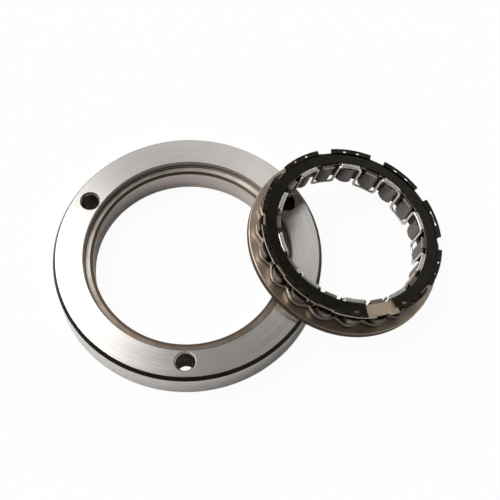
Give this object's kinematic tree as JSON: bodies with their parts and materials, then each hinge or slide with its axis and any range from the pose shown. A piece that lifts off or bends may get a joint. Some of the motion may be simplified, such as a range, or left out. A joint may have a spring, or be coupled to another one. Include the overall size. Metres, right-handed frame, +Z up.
{
  "type": "sprag clutch",
  "caption": "One-way sprag clutch: flat outer race ring with threaded holes, and a caged set of rocking sprags leaning on its rim.",
  "frame": {"origin": "centre of the race ring's underside", "axes": "+Z up along the race ring's axis, +X towards the caged set that leans on the ring"},
  "size_m": [0.1528, 0.1054, 0.0316],
  "materials": {
    "ground_steel": "ground",
    "flange_steel": "turned, bronze tint",
    "cage_steel": "polished",
    "dark_steel": "glossy black",
    "bright_steel": "bright",
    "spring_steel": "bright",
    "sprag_steel": "ground along the sprag"
  },
  "bodies": {
    "race": {"outer_race_ring": "ground_steel"},
    "cage": {"cage_flange": "flange_steel", "outer_cage": "cage_steel", "cage_top_ring": "dark_steel", "ribbon_spring": "spring_steel"},
    "retainer": {"inner_retainer": "bright_steel"},
    "sprag_01": {"sprag_01": "sprag_steel"},
    "sprag_02": {"sprag_02": "sprag_steel"},
    "sprag_03": {"sprag_03": "sprag_steel"},
    "sprag_04": {"sprag_04": "sprag_steel"},
    "sprag_05": {"sprag_05": "sprag_steel"},
    "sprag_06": {"sprag_06": "sprag_steel"},
    "sprag_07": {"sprag_07": "sprag_steel"},
    "sprag_08": {"sprag_08": "sprag_steel"},
    "sprag_09": {"sprag_09": "sprag_steel"},
    "sprag_10": {"sprag_10": "sprag_steel"},
    "sprag_11": {"sprag_11": "sprag_steel"},
    "sprag_12": {"sprag_12": "sprag_steel"},
    "sprag_13": {"sprag_13": "sprag_steel"},
    "sprag_14": {"sprag_14": "sprag_steel"},
    "sprag_15": {"sprag_15": "sprag_steel"},
    "sprag_16": {"sprag_16": "sprag_steel"},
    "sprag_17": {"sprag_17": "sprag_steel"},
    "sprag_18": {"sprag_18": "sprag_steel"},
    "sprag_19": {"sprag_19": "sprag_steel"},
    "sprag_20": {"sprag_20": "sprag_steel"}
  },
  "joints": [
    {"name": "cage_turn", "type": "hinge", "parent": "race", "child": "cage", "pos_m": [0.0611, 0.00681, 0.00958], "axis": [0.2441, 0.0272, 0.9694], "continuous": true},
    {"name": "sprag_01_rock", "type": "hinge", "parent": "cage", "child": "sprag_01", "pos_m": [0.09322, 0.01717, 0.00855], "axis": [0.2441, 0.0272, 0.9694], "range_deg": [-3, 5]},
    {"name": "sprag_02_rock", "type": "hinge", "parent": "cage", "child": "sprag_02", "pos_m": [0.08862, 0.02637, 0.00945], "axis": [0.2441, 0.0272, 0.9694], "range_deg": [-3, 5]},
    {"name": "sprag_03_rock", "type": "hinge", "parent": "cage", "child": "sprag_03", "pos_m": [0.08149, 0.03368, 0.01104], "axis": [0.2441, 0.0272, 0.9694], "range_deg": [-3, 5]},
    {"name": "sprag_04_rock", "type": "hinge", "parent": "cage", "child": "sprag_04", "pos_m": [0.07255, 0.03837, 0.01316], "axis": [0.2441, 0.0272, 0.9694], "range_deg": [-3, 5]},
    {"name": "sprag_05_rock", "type": "hinge", "parent": "cage", "child": "sprag_05", "pos_m": [0.06265, 0.03999, 0.01561], "axis": [0.2441, 0.0272, 0.9694], "range_deg": [-3, 5]},
    {"name": "sprag_06_rock", "type": "hinge", "parent": "cage", "child": "sprag_06", "pos_m": [0.05277, 0.03839, 0.01814], "axis": [0.2441, 0.0272, 0.9694], "range_deg": [-3, 5]},
    {"name": "sprag_07_rock", "type": "hinge", "parent": "cage", "child": "sprag_07", "pos_m": [0.04388, 0.03371, 0.02051], "axis": [0.2441, 0.0272, 0.9694], "range_deg": [-3, 5]},
    {"name": "sprag_08_rock", "type": "hinge", "parent": "cage", "child": "sprag_08", "pos_m": [0.03684, 0.02642, 0.02249], "axis": [0.2441, 0.0272, 0.9694], "range_deg": [-3, 5]},
    {"name": "sprag_09_rock", "type": "hinge", "parent": "cage", "child": "sprag_09", "pos_m": [0.03235, 0.01722, 0.02388], "axis": [0.2441, 0.0272, 0.9694], "range_deg": [-3, 5]},
    {"name": "sprag_10_rock", "type": "hinge", "parent": "cage", "child": "sprag_10", "pos_m": [0.03084, 0.00703, 0.02454], "axis": [0.2441, 0.0272, 0.9694], "range_deg": [-3, 5]},
    {"name": "sprag_11_rock", "type": "hinge", "parent": "cage", "child": "sprag_11", "pos_m": [0.03247, -0.00316, 0.02442], "axis": [0.2441, 0.0272, 0.9694], "range_deg": [-3, 5]},
    {"name": "sprag_12_rock", "type": "hinge", "parent": "cage", "child": "sprag_12", "pos_m": [0.03707, -0.01236, 0.02352], "axis": [0.2441, 0.0272, 0.9694], "range_deg": [-3, 5]},
    {"name": "sprag_13_rock", "type": "hinge", "parent": "cage", "child": "sprag_13", "pos_m": [0.04419, -0.01967, 0.02193], "axis": [0.2441, 0.0272, 0.9694], "range_deg": [-3, 5]},
    {"name": "sprag_14_rock", "type": "hinge", "parent": "cage", "child": "sprag_14", "pos_m": [0.05314, -0.02436, 0.01981], "axis": [0.2441, 0.0272, 0.9694], "range_deg": [-3, 5]},
    {"name": "sprag_15_rock", "type": "hinge", "parent": "cage", "child": "sprag_15", "pos_m": [0.06304, -0.02598, 0.01736], "axis": [0.2441, 0.0272, 0.9694], "range_deg": [-3, 5]},
    {"name": "sprag_16_rock", "type": "hinge", "parent": "cage", "child": "sprag_16", "pos_m": [0.07292, -0.02438, 0.01483], "axis": [0.2441, 0.0272, 0.9694], "range_deg": [-3, 5]},
    {"name": "sprag_17_rock", "type": "hinge", "parent": "cage", "child": "sprag_17", "pos_m": [0.08181, -0.0197, 0.01246], "axis": [0.2441, 0.0272, 0.9694], "range_deg": [-3, 5]},
    {"name": "sprag_18_rock", "type": "hinge", "parent": "cage", "child": "sprag_18", "pos_m": [0.08885, -0.0124, 0.01048], "axis": [0.2441, 0.0272, 0.9694], "range_deg": [-3, 5]},
    {"name": "sprag_19_rock", "type": "hinge", "parent": "cage", "child": "sprag_19", "pos_m": [0.09334, -0.00321, 0.00909], "axis": [0.2441, 0.0272, 0.9694], "range_deg": [-3, 5]},
    {"name": "sprag_20_rock", "type": "hinge", "parent": "cage", "child": "sprag_20", "pos_m": [0.09484, 0.00698, 0.00842], "axis": [0.2441, 0.0272, 0.9694], "range_deg": [-3, 5]},
    {"name": "retainer_turn", "type": "hinge", "parent": "cage", "child": "retainer", "pos_m": [0.0611, 0.00681, 0.00958], "axis": [0.2441, 0.0272, 0.9694], "range_deg": [-1, 1]}
  ],
  "couplings": [
    {"joint": "sprag_02_rock", "follows": "sprag_01_rock", "ratio": 1},
    {"joint": "sprag_03_rock", "follows": "sprag_01_rock", "ratio": 1},
    {"joint": "sprag_04_rock", "follows": "sprag_01_rock", "ratio": 1},
    {"joint": "sprag_05_rock", "follows": "sprag_01_rock", "ratio": 1},
    {"joint": "sprag_06_rock", "follows": "sprag_01_rock", "ratio": 1},
    {"joint": "sprag_07_rock", "follows": "sprag_01_rock", "ratio": 1},
    {"joint": "sprag_08_rock", "follows": "sprag_01_rock", "ratio": 1},
    {"joint": "sprag_09_rock", "follows": "sprag_01_rock", "ratio": 1},
    {"joint": "sprag_10_rock", "follows": "sprag_01_rock", "ratio": 1},
    {"joint": "sprag_11_rock", "follows": "sprag_01_rock", "ratio": 1},
    {"joint": "sprag_12_rock", "follows": "sprag_01_rock", "ratio": 1},
    {"joint": "sprag_13_rock", "follows": "sprag_01_rock", "ratio": 1},
    {"joint": "sprag_14_rock", "follows": "sprag_01_rock", "ratio": 1},
    {"joint": "sprag_15_rock", "follows": "sprag_01_rock", "ratio": 1},
    {"joint": "sprag_16_rock", "follows": "sprag_01_rock", "ratio": 1},
    {"joint": "sprag_17_rock", "follows": "sprag_01_rock", "ratio": 1},
    {"joint": "sprag_18_rock", "follows": "sprag_01_rock", "ratio": 1},
    {"joint": "sprag_19_rock", "follows": "sprag_01_rock", "ratio": 1},
    {"joint": "sprag_20_rock", "follows": "sprag_01_rock", "ratio": 1},
    {"joint": "retainer_turn", "follows": "sprag_01_rock", "ratio": -0.14}
  ]
}
